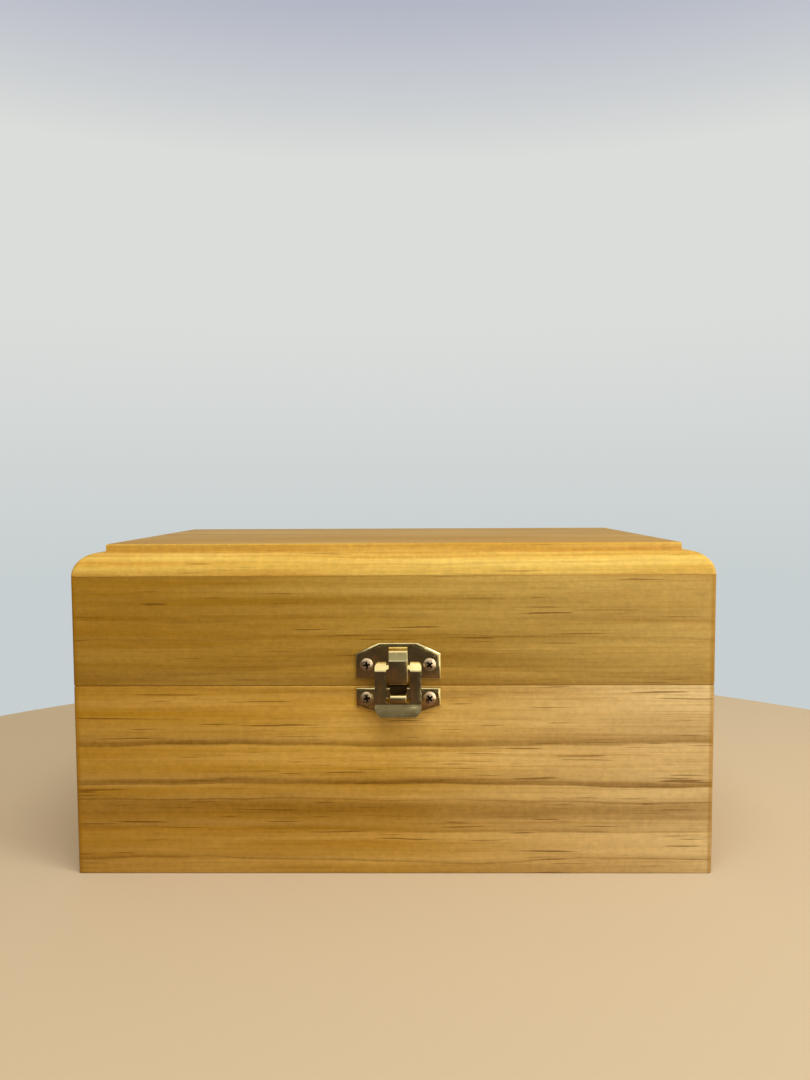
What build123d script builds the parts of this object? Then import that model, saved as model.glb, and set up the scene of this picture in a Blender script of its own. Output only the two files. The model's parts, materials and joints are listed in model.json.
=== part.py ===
"""Wooden storage box for small oil bottles, in millimetres.

A mitred pine box with a full-width hinged lid, a moulded top board, loose crossing dividers, a brass-plated
swing latch in front and two small stop hinges behind. +X is to the right, +Y to the back and +Z up.
The origin is the centre of the underside.
"""

from build123d import *
import os
from math import acos, atan2, cos, degrees, hypot, radians, sin, tan

os.makedirs("parts", exist_ok=True)

# Wooden case
width = 250.0
depth = 150.0
body_height = 75.0
lid_wall_height = 43.0
wall = 9.0
corner_round = 1.2
seam_ease = 0.35
base_thickness = 4.0
base_rabbet = 4.0

# Moulded top board
top_edge_band = 0.3
top_round = 8.5
top_shelf = 1.8
top_step = 3.2
panel_ease = 0.5

# Dividers
divider_thickness = 3.0
divider_height = 55.0
cells_across = 7
cells_deep = 4
divider_end_gap = 0.25
divider_slot_gap = 0.1

# Sheet metal and screws shared by the latch
latch_offset = 2.1
latch_sheet = 1.0
latch_width = 33.2
latch_flat = 16.0
latch_screw_spread = 24.4
latch_screw_head = 2.5
latch_screw_height = 0.9
latch_screw_shank = 1.3
latch_screw_length = 8.0

# Latch plate on the lid, with its folded strap
lid_plate_gap = 2.6
lid_plate_height = 14.4
lid_plate_side = 10.3
lid_screw_rise = 5.9
strap_width = 7.2
strap_sheet = 0.9
strap_root = 1.9
strap_crown_reach = 3.0
strap_crown_drop = 1.3
strap_shoulder_drop = 4.6
strap_length = 13.4
strap_return = 2.0
strap_bend = 1.0

# Latch plate on the box, with its nose
box_plate_gap = 0.5
box_plate_height = 10.0
box_plate_side = 7.2
box_screw_drop = 4.1
notch_width = 6.6
notch_depth = 2.1
nose_width = 6.2
nose_sheet = 0.9
nose_catch = 0.5
nose_length = 2.75
nose_bend = 1.0

# Swing frame of the latch
frame_sheet = 0.9
frame_width = 17.9
frame_window = 9.3
frame_reach = 4.4
frame_play = 0.33
frame_catch_gap = 0.45
frame_pivot_rise = 8.0
frame_shoulder = 1.25
frame_slope = 50.0
frame_crossbar = 1.7
frame_bar = 0.6
frame_lip = 4.7
frame_lip_flare = 18.0
frame_bend = 1.0
frame_corner = 3.9
frame_window_corner = 0.8
frame_shoulder_corner = 1.2

# Stop hinges
hinge_spacing = 150.0
hinge_width = 24.0
hinge_sheet = 1.0
hinge_leaf = 12.0
hinge_knuckle = 2.0
hinge_pin = 1.0
hinge_pin_fit = 0.05
hinge_pin_end = 0.4
hinge_centre_knuckle = 8.0
hinge_side_gap = 0.2
hinge_wood_gap = 0.3
hinge_screw_spread = 15.0
hinge_screw_from_axis = 8.0
hinge_screw_head = 2.1
hinge_screw_height = 0.6
hinge_screw_shank = 1.2
hinge_screw_length = 7.5
hinge_stop_reach = 4.0
hinge_stop_gap = 0.1
hinge_open_angle = 100.0

# Places worked out from the sizes above
inner_width = width - 2 * wall
inner_depth = depth - 2 * wall
top_board_bottom = body_height + lid_wall_height
top_board_shelf = top_board_bottom + top_edge_band + top_round
panel_inset = top_round + top_shelf
lid_plate_bottom = body_height + lid_plate_gap
lid_plate_top = lid_plate_bottom + lid_plate_height
box_plate_top = body_height - box_plate_gap
box_plate_bottom = box_plate_top - box_plate_height
nose_bottom = box_plate_top - notch_depth - nose_length
hinge_axis_y = depth / 2 + hinge_wood_gap + hinge_knuckle

# The frame's crossbar turns between the lid plate and the strap with the same play on both sides
frame_pivot_height = body_height + frame_pivot_rise
frame_pivot_reach = latch_sheet + hypot(frame_shoulder, frame_sheet / 2) + frame_play
slope_down = sin(radians(frame_slope))
slope_out = cos(radians(frame_slope))
crossbar_half = frame_crossbar / 2 * slope_down
crossbar_corner = crossbar_half * slope_out / slope_down + frame_sheet / 2 / slope_down
strap_reach = frame_pivot_reach + hypot(crossbar_half, crossbar_corner) + frame_play + strap_sheet
nose_reach = frame_reach + nose_catch

# The stop on a hinge's lid leaf meets the box leaf's face when the lid is fully open
stop_corner = hypot(hinge_stop_reach, hinge_sheet / 2)
stop_clearance = hinge_wood_gap + hinge_knuckle - hinge_sheet - hinge_stop_gap
stop_swing = degrees(acos(-stop_clearance / stop_corner) - atan2(hinge_sheet / 2, hinge_stop_reach))
hinge_stop_angle = hinge_open_angle - stop_swing

# The front face seen from in front, the latch's centre line seen from the side, and the back face
front_face = Plane(origin=(latch_offset, -depth / 2, 0), x_dir=(1, 0, 0), z_dir=(0, -1, 0))
latch_side = Plane(origin=(latch_offset, -depth / 2, 0), x_dir=(0, -1, 0), z_dir=(-1, 0, 0))
back_face = Plane(origin=(0, depth / 2, 0), x_dir=(-1, 0, 0), z_dir=(0, 1, 0))


def wood_screw(head_radius, head_height, shank_radius, length):
    """A pan-head screw that stands on the origin's plane and points down."""
    with BuildPart() as screw:
        with BuildSketch(Plane.XZ):
            with BuildLine():
                Polyline(
                    (0, head_height),
                    (head_radius, head_height),
                    (head_radius, 0),
                    (shank_radius, 0),
                    (shank_radius, -length),
                    (0, -length),
                    close=True,
                )
            make_face()
        revolve(axis=Axis.Z)
    return screw.part


latch_screw = wood_screw(latch_screw_head, latch_screw_height, latch_screw_shank, latch_screw_length)
hinge_screw = wood_screw(hinge_screw_head, hinge_screw_height, hinge_screw_shank, hinge_screw_length)


def latch_screw_spots(height):
    """The two screws of a latch plate, with the heads standing on the plate's face."""
    half = latch_screw_spread / 2
    return [front_face.location * Location((x, height, latch_sheet)) for x in (-half, half)]


def hinge_screw_spots(height):
    """The screws at one height of both hinges, with the heads standing on the leaves' faces."""
    across = [
        hinge + screw
        for hinge in (-hinge_spacing / 2, hinge_spacing / 2)
        for screw in (-hinge_screw_spread / 2, hinge_screw_spread / 2)
    ]
    return [back_face.location * Location((x, height, hinge_sheet)) for x in across]


lid_latch_spots = latch_screw_spots(lid_plate_bottom + lid_screw_rise)
box_latch_spots = latch_screw_spots(box_plate_top - box_screw_drop)
lid_hinge_spots = hinge_screw_spots(body_height + hinge_screw_from_axis)
box_hinge_spots = hinge_screw_spots(body_height - hinge_screw_from_axis)

# The four walls of the box are cut from one ring, which is rabbeted for the base and drilled for the screws
with BuildPart() as body_ring:
    with BuildSketch():
        RectangleRounded(width, depth, corner_round)
        Rectangle(inner_width, inner_depth, mode=Mode.SUBTRACT)
    extrude(amount=body_height)
    with BuildSketch():
        Rectangle(inner_width + 2 * base_rabbet, inner_depth + 2 * base_rabbet)
    extrude(amount=base_thickness, mode=Mode.SUBTRACT)
    rim = body_ring.faces().sort_by(Axis.Z)[-1]
    chamfer(rim.outer_wire().edges(), seam_ease)
    with Locations(*box_latch_spots):
        add(latch_screw, mode=Mode.SUBTRACT)
    with Locations(*box_hinge_spots):
        add(hinge_screw, mode=Mode.SUBTRACT)

# The four walls of the lid are cut from a second ring of the same plan
with BuildPart() as lid_ring:
    with BuildSketch(Plane.XY.offset(body_height)):
        RectangleRounded(width, depth, corner_round)
        Rectangle(inner_width, inner_depth, mode=Mode.SUBTRACT)
    extrude(amount=lid_wall_height)
    rim = lid_ring.faces().sort_by(Axis.Z)[0]
    chamfer(rim.outer_wire().edges(), seam_ease)
    with Locations(*lid_latch_spots):
        add(latch_screw, mode=Mode.SUBTRACT)
    with Locations(*lid_hinge_spots):
        add(hinge_screw, mode=Mode.SUBTRACT)

# Each wall is the part of its ring between two mitres, which meet on the plan's centre lines
corner_x = width / 2
corner_y = depth / 2
ridge = corner_x - corner_y
wall_wedges = {
    "front": [(-corner_x, -corner_y), (corner_x, -corner_y), (ridge, 0), (-ridge, 0)],
    "back": [(corner_x, corner_y), (-corner_x, corner_y), (-ridge, 0), (ridge, 0)],
    "left": [(-corner_x, corner_y), (-corner_x, -corner_y), (-ridge, 0)],
    "right": [(corner_x, -corner_y), (corner_x, corner_y), (ridge, 0)],
}
for owner, ring in (("body", body_ring), ("lid", lid_ring)):
    for side, wedge in wall_wedges.items():
        with BuildPart() as board:
            add(ring.part)
            with BuildSketch():
                Polygon(*wedge, align=None)
            extrude(amount=body_height + lid_wall_height, mode=Mode.INTERSECT)
        board.part.label = f"{owner}_{side}"
        export_step(board.part, f"parts/{owner}_{side}.step")

with BuildPart() as body_bottom:
    with BuildSketch():
        Rectangle(inner_width + 2 * base_rabbet, inner_depth + 2 * base_rabbet)
    extrude(amount=base_thickness)
body_bottom.part.label = "body_bottom"
export_step(body_bottom.part, "parts/body_bottom.step")

# The top board has a quarter-round edge, a narrow shelf and a raised panel
with BuildPart() as lid_top:
    with BuildSketch(Plane.XY.offset(top_board_bottom)):
        RectangleRounded(width, depth, corner_round)
    extrude(amount=top_edge_band + top_round)
    fillet(lid_top.faces().sort_by(Axis.Z)[-1].edges(), top_round)
    with BuildSketch(Plane.XY.offset(top_board_shelf)):
        Rectangle(width - 2 * panel_inset, depth - 2 * panel_inset)
    extrude(amount=top_step)
    chamfer(lid_top.faces().sort_by(Axis.Z)[-1].edges(), panel_ease)
lid_top.part.label = "lid_top"
export_step(lid_top.part, "parts/lid_top.step")

# Dividers stand on the base. The long ones are slotted from above and the cross ones from below
cell_x = (inner_width - (cells_across - 1) * divider_thickness) / cells_across
cell_y = (inner_depth - (cells_deep - 1) * divider_thickness) / cells_deep
pitch_x = cell_x + divider_thickness
pitch_y = cell_y + divider_thickness
cross_places = [(i - cells_across / 2) * pitch_x for i in range(1, cells_across)]
long_places = [(i - cells_deep / 2) * pitch_y for i in range(1, cells_deep)]
slot_width = divider_thickness + 2 * divider_slot_gap

for number, y in enumerate(long_places, start=1):
    with BuildPart() as divider:
        with BuildSketch(Plane.XZ.offset(-y)):
            with Locations((0, base_thickness)):
                Rectangle(
                    inner_width - 2 * divider_end_gap, divider_height, align=(Align.CENTER, Align.MIN)
                )
            with Locations(*[(x, base_thickness + divider_height) for x in cross_places]):
                Rectangle(
                    slot_width, divider_height / 2, align=(Align.CENTER, Align.MAX), mode=Mode.SUBTRACT
                )
        extrude(amount=divider_thickness / 2, both=True)
    divider.part.label = f"divider_long_{number}"
    export_step(divider.part, f"parts/divider_long_{number}.step")

for number, x in enumerate(cross_places, start=1):
    with BuildPart() as divider:
        with BuildSketch(Plane.YZ.offset(x)):
            with Locations((0, base_thickness)):
                Rectangle(
                    inner_depth - 2 * divider_end_gap, divider_height, align=(Align.CENTER, Align.MIN)
                )
            with Locations(*[(y, base_thickness) for y in long_places]):
                Rectangle(
                    slot_width, divider_height / 2, align=(Align.CENTER, Align.MIN), mode=Mode.SUBTRACT
                )
        extrude(amount=divider_thickness / 2, both=True)
    divider.part.label = f"divider_cross_{number}"
    export_step(divider.part, f"parts/divider_cross_{number}.step")

# The lid's latch plate tapers to a narrow top, and its strap folds forward and down over the swing frame
strap_top = lid_plate_top - strap_root
strap_middle = strap_reach - strap_sheet / 2
with BuildPart() as latch_lid_plate:
    with BuildSketch(front_face):
        with BuildLine():
            Polyline(
                (-latch_width / 2, lid_plate_bottom),
                (latch_width / 2, lid_plate_bottom),
                (latch_width / 2, lid_plate_bottom + lid_plate_side),
                (latch_flat / 2, lid_plate_top),
                (-latch_flat / 2, lid_plate_top),
                (-latch_width / 2, lid_plate_bottom + lid_plate_side),
                close=True,
            )
        make_face()
    extrude(amount=latch_sheet)
    with BuildSketch(latch_side):
        with BuildLine():
            FilletPolyline(
                (latch_sheet / 2, strap_top),
                (strap_crown_reach, strap_top - strap_crown_drop),
                (strap_middle, strap_top - strap_shoulder_drop),
                (strap_middle, strap_top - strap_length),
                (strap_return, strap_top - strap_length),
                radius=strap_bend,
            )
        trace(line_width=strap_sheet)
    extrude(amount=strap_width / 2, both=True)
    with Locations(*lid_latch_spots):
        add(latch_screw, mode=Mode.SUBTRACT)
latch_lid_plate.part.label = "latch_lid_plate"
export_step(latch_lid_plate.part, "parts/latch_lid_plate.step")

# The box's latch plate has a notch in its top edge, under which a tongue is folded forward and down
nose_top = box_plate_top - notch_depth - nose_sheet / 2
with BuildPart() as latch_box_plate:
    with BuildSketch(front_face):
        with BuildLine():
            Polyline(
                (-latch_width / 2, box_plate_top),
                (latch_width / 2, box_plate_top),
                (latch_width / 2, box_plate_top - box_plate_side),
                (latch_flat / 2, box_plate_bottom),
                (-latch_flat / 2, box_plate_bottom),
                (-latch_width / 2, box_plate_top - box_plate_side),
                close=True,
            )
        make_face()
        with Locations((0, box_plate_top)):
            Rectangle(notch_width, notch_depth, align=(Align.CENTER, Align.MAX), mode=Mode.SUBTRACT)
    extrude(amount=latch_sheet)
    with BuildSketch(latch_side):
        with BuildLine():
            FilletPolyline(
                (latch_sheet / 2, nose_top),
                (nose_reach - nose_sheet / 2, nose_top),
                (nose_reach - nose_sheet / 2, nose_bottom),
                radius=nose_bend,
            )
        trace(line_width=nose_sheet)
    extrude(amount=nose_width / 2, both=True)
    with Locations(*box_latch_spots):
        add(latch_screw, mode=Mode.SUBTRACT)
latch_box_plate.part.label = "latch_box_plate"
export_step(latch_box_plate.part, "parts/latch_box_plate.step")

# The swing frame: sloping shoulders on the pivot, straight arms and a flared lip under the window
frame_middle = frame_reach - frame_sheet / 2
frame_bend_drop = (frame_middle - frame_pivot_reach) / slope_out * slope_down
window_bottom = nose_bottom - frame_catch_gap
window_height = frame_pivot_height - crossbar_half - window_bottom
lip_top = window_bottom - frame_bar
frame_section = [
    (frame_pivot_reach - frame_shoulder * slope_out, frame_pivot_height + frame_shoulder * slope_down),
    (frame_middle, frame_pivot_height - frame_bend_drop),
    (frame_middle, lip_top),
    (frame_middle + frame_lip * tan(radians(frame_lip_flare)), lip_top - frame_lip),
]
with BuildPart() as latch_frame:
    with BuildSketch(latch_side):
        with BuildLine():
            FilletPolyline(*frame_section, radius=frame_bend)
        trace(line_width=frame_sheet)
    extrude(amount=frame_width / 2, both=True)
    top = latch_frame.part.bounding_box().max.Z
    bottom = latch_frame.part.bounding_box().min.Z
    with BuildSketch(front_face) as outline:
        with Locations((0, bottom)):
            Rectangle(frame_width, top - bottom, align=(Align.CENTER, Align.MIN))
        fillet(outline.vertices().group_by(Axis.Y)[0], frame_corner)
        fillet(outline.vertices().group_by(Axis.Y)[-1], frame_shoulder_corner)
        with Locations((0, window_bottom)):
            RectangleRounded(
                frame_window,
                window_height,
                frame_window_corner,
                align=(Align.CENTER, Align.MIN),
                mode=Mode.SUBTRACT,
            )
        with Locations((0, frame_pivot_height + crossbar_half)):
            Rectangle(frame_window, frame_shoulder, align=(Align.CENTER, Align.MIN), mode=Mode.SUBTRACT)
    extrude(amount=2 * nose_reach, mode=Mode.INTERSECT)
latch_frame.part.label = "latch_frame"
export_step(latch_frame.part, "parts/latch_frame.step")

# Screws
screw_groups = {
    "latch_lid_screws": (latch_screw, lid_latch_spots),
    "latch_box_screws": (latch_screw, box_latch_spots),
    "hinge_lid_screws": (hinge_screw, lid_hinge_spots),
    "hinge_box_screws": (hinge_screw, box_hinge_spots),
}
for label, (screw, spots) in screw_groups.items():
    with BuildPart() as group:
        with Locations(*spots):
            add(screw)
    group.part.label = label
    export_step(group.part, f"parts/{label}.step")

# Each stop hinge: a box leaf with two knuckles, a lid leaf with one knuckle and a stop, and a pin
knuckle_relief = hinge_knuckle + hinge_wood_gap
side_knuckle = (hinge_width - hinge_centre_knuckle) / 2 - hinge_side_gap
side_knuckle_centre = (hinge_width - side_knuckle) / 2
for side, hinge_x in (("left", -hinge_spacing / 2), ("right", hinge_spacing / 2)):
    seam = (-hinge_x, body_height)
    axis_spot = (hinge_axis_y, body_height)

    with BuildPart() as box_leaf:
        with BuildSketch(back_face):
            with Locations(seam):
                Rectangle(hinge_width, hinge_leaf, align=(Align.CENTER, Align.MAX))
            with Locations(seam):
                Rectangle(
                    hinge_centre_knuckle + 2 * hinge_side_gap,
                    knuckle_relief,
                    align=(Align.CENTER, Align.MAX),
                    mode=Mode.SUBTRACT,
                )
        extrude(amount=hinge_sheet)
        for x in (-side_knuckle_centre, side_knuckle_centre):
            with BuildSketch(Plane.YZ.offset(hinge_x + x)):
                with Locations(axis_spot):
                    Circle(hinge_knuckle)
            extrude(amount=side_knuckle / 2, both=True)
        with BuildSketch(Plane.YZ.offset(hinge_x)):
            with Locations(axis_spot):
                Circle(hinge_pin)
        extrude(amount=hinge_width, both=True, mode=Mode.SUBTRACT)
        with Locations(*box_hinge_spots):
            add(hinge_screw, mode=Mode.SUBTRACT)
    box_leaf.part.label = f"hinge_{side}_box_leaf"
    export_step(box_leaf.part, f"parts/hinge_{side}_box_leaf.step")

    with BuildPart() as lid_leaf:
        with BuildSketch(back_face):
            with Locations(seam):
                Rectangle(hinge_width, hinge_leaf, align=(Align.CENTER, Align.MIN))
            with Locations(seam), GridLocations(2 * side_knuckle_centre, 0, 2, 1):
                Rectangle(
                    side_knuckle + 2 * hinge_side_gap,
                    knuckle_relief,
                    align=(Align.CENTER, Align.MIN),
                    mode=Mode.SUBTRACT,
                )
        extrude(amount=hinge_sheet)
        with BuildSketch(Plane.YZ.offset(hinge_x)):
            with Locations(axis_spot):
                Circle(hinge_knuckle)
                Rectangle(
                    hinge_stop_reach,
                    hinge_sheet,
                    rotation=hinge_stop_angle,
                    align=(Align.MIN, Align.CENTER),
                )
        extrude(amount=hinge_centre_knuckle / 2, both=True)
        with BuildSketch(Plane.YZ.offset(hinge_x)):
            with Locations(axis_spot):
                Circle(hinge_pin + hinge_pin_fit)
        extrude(amount=hinge_width, both=True, mode=Mode.SUBTRACT)
        with Locations(*lid_hinge_spots):
            add(hinge_screw, mode=Mode.SUBTRACT)
    lid_leaf.part.label = f"hinge_{side}_lid_leaf"
    export_step(lid_leaf.part, f"parts/hinge_{side}_lid_leaf.step")

    with BuildPart() as pin:
        with BuildSketch(Plane.YZ.offset(hinge_x)):
            with Locations(axis_spot):
                Circle(hinge_pin)
        extrude(amount=hinge_width / 2 + hinge_pin_end, both=True)
    pin.part.label = f"hinge_{side}_pin"
    export_step(pin.part, f"parts/hinge_{side}_pin.step")
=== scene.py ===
"""The essential oil storage box as it looks: satin-varnished radiata pine with a plated latch and hinges.

The file is laid out as an add-on and is run as a script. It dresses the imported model, in metres, with +Z up.
"""

import json
from math import pi, radians

import bmesh
import bpy
from mathutils import Matrix, Vector

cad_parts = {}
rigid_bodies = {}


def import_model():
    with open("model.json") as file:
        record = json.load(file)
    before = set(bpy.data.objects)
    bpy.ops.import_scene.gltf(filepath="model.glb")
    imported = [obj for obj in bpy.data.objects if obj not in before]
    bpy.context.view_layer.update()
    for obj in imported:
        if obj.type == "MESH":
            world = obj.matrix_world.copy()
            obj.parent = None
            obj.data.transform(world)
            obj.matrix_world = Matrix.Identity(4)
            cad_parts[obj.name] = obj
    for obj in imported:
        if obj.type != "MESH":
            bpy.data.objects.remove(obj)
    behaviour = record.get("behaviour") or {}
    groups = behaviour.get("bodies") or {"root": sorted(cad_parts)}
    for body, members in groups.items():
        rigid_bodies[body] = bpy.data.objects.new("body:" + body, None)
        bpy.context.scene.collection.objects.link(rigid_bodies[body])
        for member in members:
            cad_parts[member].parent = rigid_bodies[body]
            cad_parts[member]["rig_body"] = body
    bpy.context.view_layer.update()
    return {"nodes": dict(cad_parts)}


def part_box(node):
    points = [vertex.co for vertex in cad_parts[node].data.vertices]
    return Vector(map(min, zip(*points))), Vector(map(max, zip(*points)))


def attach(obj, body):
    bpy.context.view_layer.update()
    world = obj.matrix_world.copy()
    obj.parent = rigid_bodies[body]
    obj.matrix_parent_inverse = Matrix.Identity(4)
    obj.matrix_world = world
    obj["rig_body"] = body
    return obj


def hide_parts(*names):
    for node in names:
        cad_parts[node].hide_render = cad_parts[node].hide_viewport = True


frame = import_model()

bl_info = {
    "name": "Essential Oil Storage Box",
    "version": (1, 0, 0),
    "blender": (4, 5, 0),
    "location": "3D View > Sidebar > Oil Box",
    "description": "Dresses a pine box for small oil bottles, with its latch, hinges and studio stage",
    "category": "Object",
}

MM = 0.001

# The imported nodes, in groups of like pieces
WALLS = [f"{case}_{side}" for case in ("body", "lid") for side in ("front", "back", "left", "right")]
LONG_DIVIDERS = ["divider_long_1", "divider_long_2", "divider_long_3"]
CROSS_DIVIDERS = [f"divider_cross_{number}" for number in range(1, 7)]
HINGE_PARTS = [
    f"hinge_{side}_{part}" for side in ("left", "right") for part in ("box_leaf", "lid_leaf", "pin")
]
SCREW_GROUPS = ["latch_lid_screws", "latch_box_screws", "hinge_lid_screws", "hinge_box_screws"]

# Places closer together than the first are taken as one, and points closer than the second are merged.
# Triangles that meet at less than the third are one flat face
TOUCHING = 0.01 * MM
SAME_POINT = 0.002 * MM
FLAT = radians(0.4)

# The lowest and highest corner of the top board, which is as wide and deep as the box
TOP_LOW, TOP_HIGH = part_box("lid_top")

# The inner faces of the walls: the base board reaches this far into its rabbet in each wall
BASE_REACH = 4 * MM
INNER_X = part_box("body_bottom")[1].x - BASE_REACH
INNER_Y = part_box("body_bottom")[1].y - BASE_REACH

# Just past the middle of a wall's thickness, from its inner face, and the band at the foot of the walls
MID_WALL = 5 * MM
FOOT_BAND = 0.6 * MM

# The upper edges of the top board lie more than this far above its underside, and the panel's face lies this
# near to its top
UPPER_EDGES = 5 * MM
PANEL_FACE = 0.1 * MM

# From the underside of the top board down to the middle of the latch's window, and half the width and height
# of the painted shade behind it
WINDOW_DROP = 44.5 * MM
SHADE_HALF_WIDTH = 5.4 * MM
SHADE_HALF_HEIGHT = 4.2 * MM

# Each wall is cut from another place in the plank, this many spots of the pattern on
BOARD_SHIFT = 3.7

# The latch's sheet, half the width that the strap and the nose take from a plate, and the shortest rim edge
LATCH_SHEET = 1.0 * MM
STRAP_REACH = 4 * MM
SHORTEST_RIM = 0.5 * MM

# Head radius, head height, shank radius and length of the screws, in millimetres
SCREWS = {"latch": (2.5, 0.9, 1.3, 8.0), "hinge": (2.1, 0.6, 1.2, 7.5)}

# How far each screw of a group is turned, in degrees, and how far apart the screws of a hinge leaf are
SCREW_TURNS = [8, 38, 2, 62]
HINGE_SCREW_SPAN = 15 * MM

# A screw's core, and the radius and place of the ridge of its thread, as shares of the shank's radius
CORE_RADIUS = 0.74
RIDGE_RADIUS = 0.22
RIDGE_PLACE = 0.76

# Where the thread starts, how far it runs and where the point starts, as shares of the length
THREAD_START = 0.12
THREAD_RUN = 0.62
POINT_START = 0.75
THREAD_STEPS = 14

# How much of their width the tip of the point and the bottom of the recess keep
TIP_SHARE = 0.12
RECESS_TAPER = 0.6

# The recess sizes are those of a head of this radius, and smaller heads have a smaller recess
RECESS_HEAD = 2.5 * MM

# The floor's middle lies this far to the right of the box's, and its face this far under the box
FLOOR_RIGHT = 10 * MM
FLOOR_DROP = 0.05 * MM

# What the lamps point at, and the camera's place, fitted to the box's edges in the photograph
LAMP_TARGET = (0, -0.02, 0.07)
CAMERA_PLACE = (0.0083, -0.3867, 0.1502)

# The camera's turns in degrees, the last one first, from looking straight down
CAMERA_TURNS = (("Z", 0.61), ("X", -3.38), ("Y", 0.27), ("X", 90))


def linear(code):
    """A colour written as sRGB hex, in the linear values that a shader takes."""
    channels = [int(code[i : i + 2], 16) / 255 for i in (1, 3, 5)]
    return tuple(c / 12.92 if c <= 0.04045 else ((c + 0.055) / 1.055) ** 2.4 for c in channels) + (1.0,)


def colour_property(name, description, code):
    """A colour that a user can change, with its default written as sRGB hex."""
    return bpy.props.FloatVectorProperty(
        name=name, description=description, default=linear(code), subtype="COLOR", size=4, min=0, max=1
    )


def size_property(name, description, millimetres):
    """A length that a user can change, with its default written in millimetres."""
    return bpy.props.FloatProperty(
        name=name, description=description, default=millimetres * MM, unit="LENGTH", min=0, precision=5
    )


class PineFinish(bpy.types.PropertyGroup):
    """The pine boards and their varnish."""

    light: colour_property("Early wood", "Pale wood between the growth rings", "#E0B660")
    middle: colour_property("Late wood", "Darker streaks of the growth rings", "#BE902C")
    # Partly painted light: the paler right ends also stand in for the brighter light and sheen at the right
    pale: colour_property("Pale end", "Paler wood towards the right end of a board", "#F8E2AC")
    # Painted shade: the lid's colours are the box's made darker, for the weaker light that falls on the lid
    lid_shaded_light: colour_property("Lid early wood", "Pale wood of the lid, cut from a darker plank", "#C3A04D")
    lid_shaded_middle: colour_property("Lid late wood", "Darker streaks of the lid's boards", "#9D7922")
    lid_shaded_pale: colour_property("Lid pale end", "Paler wood towards the right end of the lid", "#D2B268")
    amber: colour_property("Amber", "Warmer wood where the varnish lies thick", "#9E6C04")
    brown: colour_property("Brown ring", "Brown late wood of the strongest growth rings", "#734A00")
    duct: colour_property("Resin duct", "Short dark dashes of the resin ducts", "#6A4206")
    top_light: colour_property("Top board early wood", "Yellow wood of the moulded top board", "#F6DA78")
    top_middle: colour_property("Top board late wood", "Darker streaks of the moulded top board", "#CC9C36")
    top_ring: colour_property("Top board ring", "Orange rings of the moulded top board", "#B4740F")
    panel_light: colour_property("Panel early wood", "Pale wood of the raised panel", "#CCA860")
    panel_middle: colour_property("Panel late wood", "Darker streaks of the raised panel", "#A88440")
    bare_light: colour_property("Bare early wood", "Pale unvarnished wood inside the box", "#E2C796")
    bare_middle: colour_property("Bare late wood", "Darker unvarnished streaks inside the box", "#CFA96B")
    bare_duct: colour_property("Bare resin duct", "Dashes in the unvarnished wood", "#9A713A")
    # Painted shade: this dark colour darkens the wood behind the latch's window, where the strap and frame
    # shade it
    painted_shade: colour_property("Grime", "Grime on the wood behind the latch's window", "#1C1208")
    edge: size_property("Eased edge", "How far the sharp edges of a board are sanded back", 0.25)
    foot_edge: size_property("Foot edge", "How far the bottom edge of the box is sanded back", 0.45)
    joint_edge: size_property("Joint edge", "How far the edges at the top board are sanded back", 0.15)


class PlatingFinish(bpy.types.PropertyGroup):
    """The pressed sheet metal of the latch and the hinges."""

    brass: colour_property("Plating", "Pale gold of the bright plating", "#EEE2A8")
    tarnish: colour_property("Tarnish", "Duller patches of the plating", "#B59A62")
    steel: colour_property("Screw plating", "Pinkish plating of the screws", "#F0DCBC")
    # Painted shade: the screw recesses are coloured dark metal in place of the shade that falls into them
    recess_shade: colour_property("Recess", "Dull metal down in the screw recesses", "#2E2014")
    plate_edge: size_property("Plate edge", "Rounding of the pressed edges of the latch plates", 0.9)
    frame_edge: size_property("Frame edge", "Rounding of the edges of the swing frame", 0.42)
    leaf_edge: size_property("Leaf edge", "Rounding of the edges of the hinge leaves", 0.2)


class ScrewSizes(bpy.types.PropertyGroup):
    """The cross-head screws."""

    rim_share: bpy.props.FloatProperty(
        name="Rim", description="Share of the head's height that is straight", default=0.2, min=0.1, max=0.9
    )
    recess_span: size_property("Recess span", "Length of each arm of the cross", 3.6)
    recess_width: size_property("Recess width", "Width of each arm of the cross", 1.0)
    recess_depth: size_property("Recess depth", "Depth of the cross", 0.7)
    thread_pitch: size_property("Thread pitch", "Distance between the turns of the thread", 1.0)


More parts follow.
